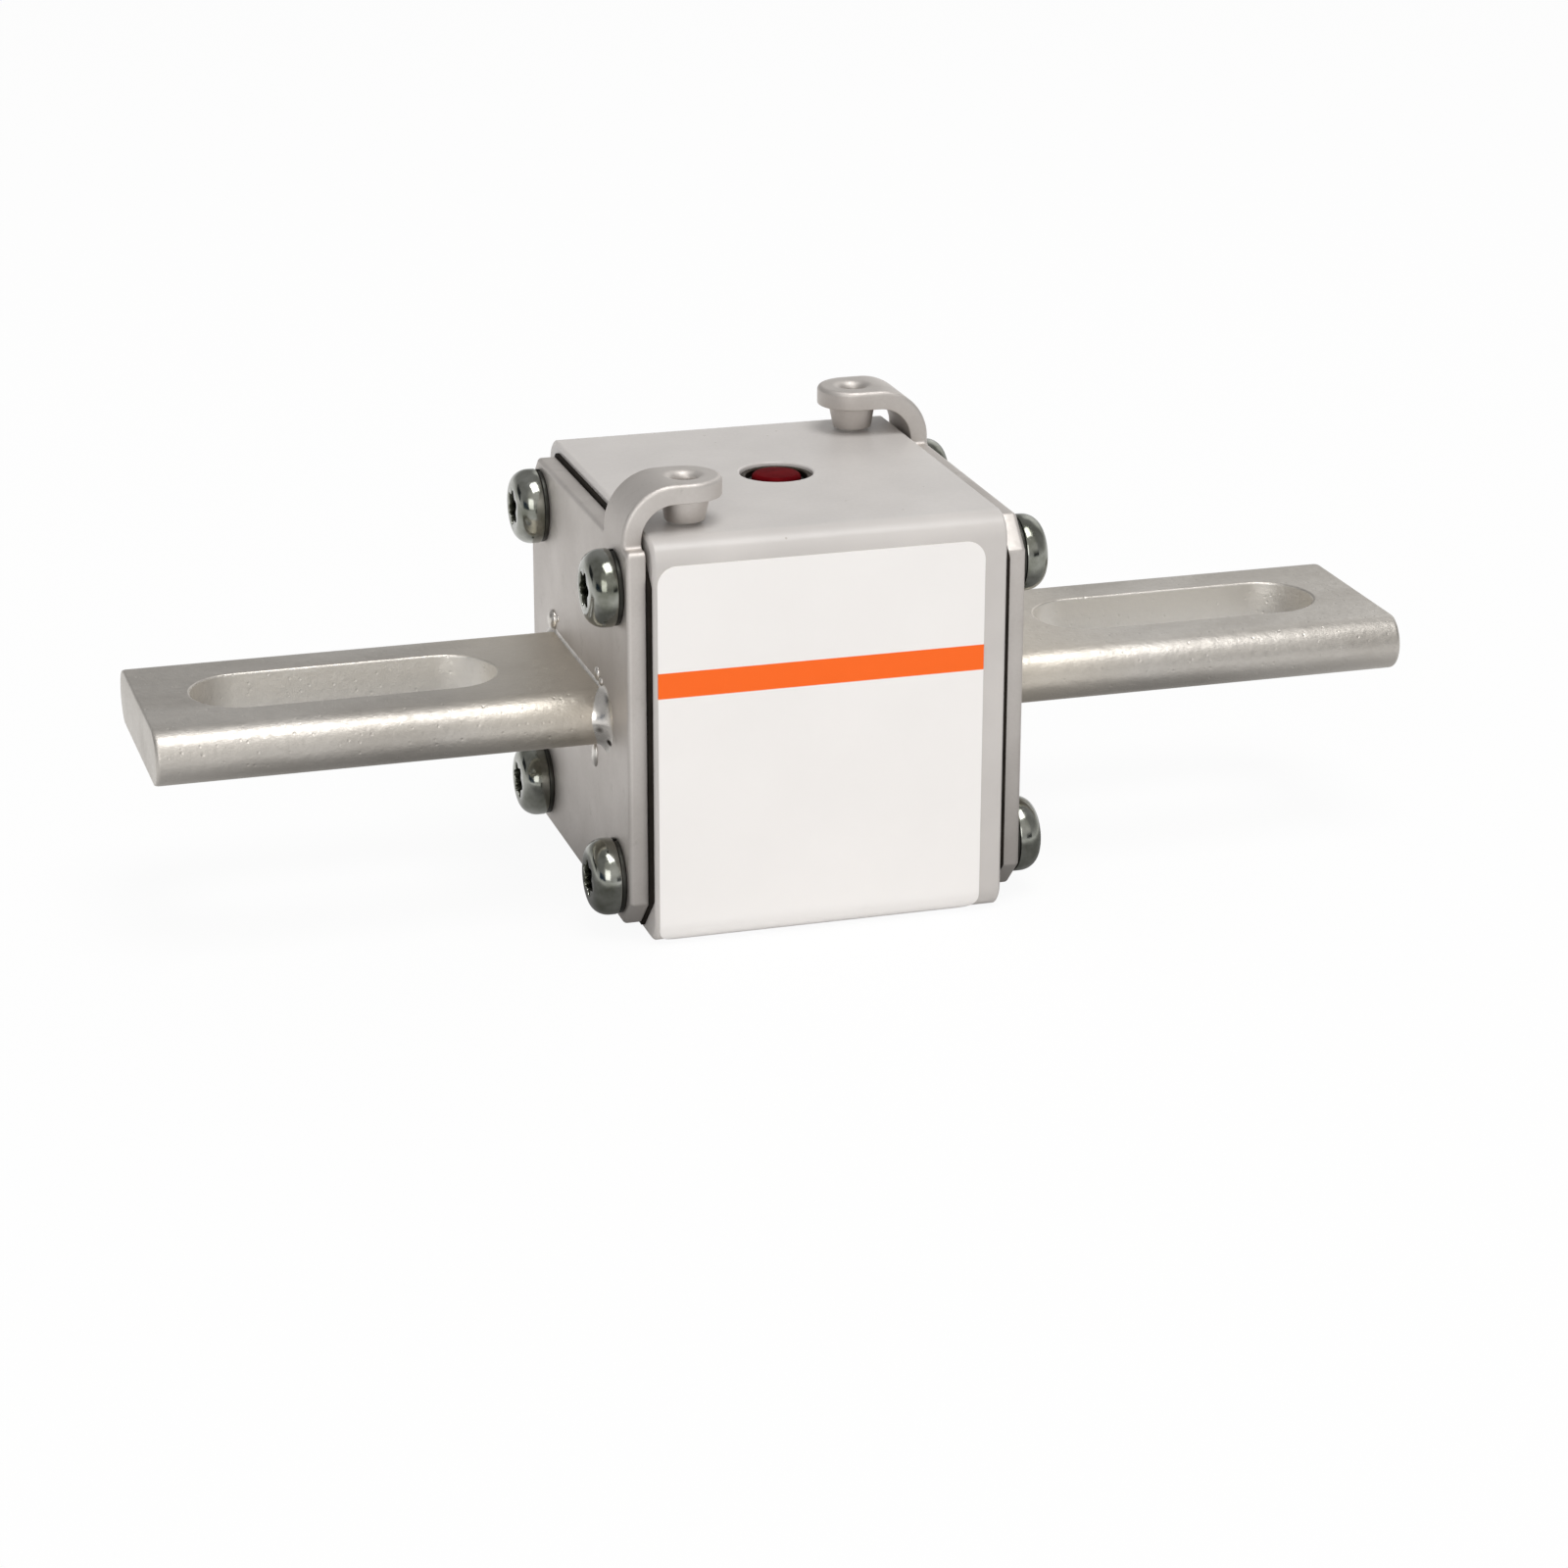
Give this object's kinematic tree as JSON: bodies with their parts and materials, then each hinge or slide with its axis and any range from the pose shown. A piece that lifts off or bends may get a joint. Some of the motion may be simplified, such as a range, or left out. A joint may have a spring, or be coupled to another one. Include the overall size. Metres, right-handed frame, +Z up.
{
  "type": "high-speed fuse",
  "caption": "Square ceramic-bodied fuse with flat slotted blades for bolting to busbars, screwed end plates, switch lugs and a pop-up trip indicator.",
  "frame": {"origin": "centre of the ceramic body, on the middle plane of both blades", "axes": "+X along the fuse towards the right blade, +Y towards the back, +Z up through the indicator"},
  "size_m": [0.135, 0.0431, 0.048],
  "materials": {
    "ceramic": "pressed and fired ceramic, satin, light warm grey",
    "label_film": "white film with an orange band, no printing",
    "silver_plated_plate": "silver plated, satin",
    "silver_plated_blade": "silver plated, satin, fine drawn lines",
    "braze": "brazed fillet, silver plated, uneven gloss",
    "gasket": "dark sealing sheet, matt",
    "screw_zinc": "zinc plated, passivated, bright",
    "washer_steel": "dark phosphated spring steel",
    "insert_brass": "turned brass",
    "copper": "bare copper",
    "silver": "bare rolled silver",
    "quartz_sand": "packed quartz sand",
    "housing_brass": "darkened brass",
    "black_plastic": "moulded, matt black",
    "red_plastic": "moulded, deep red",
    "striker_steel": "turned steel",
    "spring_steel": "drawn spring wire",
    "wire_steel": "drawn resistance wire"
  },
  "bodies": {
    "fuse": {"ceramic_body": "ceramic", "label": "label_film", "left_end_plate": "silver_plated_plate", "right_end_plate": "silver_plated_plate", "left_blade": "silver_plated_blade", "right_blade": "silver_plated_blade", "left_blade_braze": "braze", "right_blade_braze": "braze", "left_gasket": "gasket", "right_gasket": "gasket", "left_screws": "screw_zinc", "right_screws": "screw_zinc", "left_lock_washers": "washer_steel", "right_lock_washers": "washer_steel", "left_threaded_inserts": "insert_brass", "right_threaded_inserts": "insert_brass", "left_contact_block": "copper", "right_contact_block": "copper", "upper_fuse_strip": "silver", "middle_fuse_strip": "silver", "lower_fuse_strip": "silver", "sand_filling": "quartz_sand", "indicator_housing": "housing_brass", "indicator_retainer": "black_plastic", "striker_spring": "spring_steel", "holding_wire": "wire_steel"},
    "trip_striker": {"striker": "striker_steel", "indicator_cap": "red_plastic"}
  },
  "joints": [
    {"name": "striker_travel", "type": "slide", "parent": "fuse", "child": "trip_striker", "axis": [0, 0, 1], "range_m": [0, 0.006], "deforming": ["striker_spring", "holding_wire"]}
  ]
}
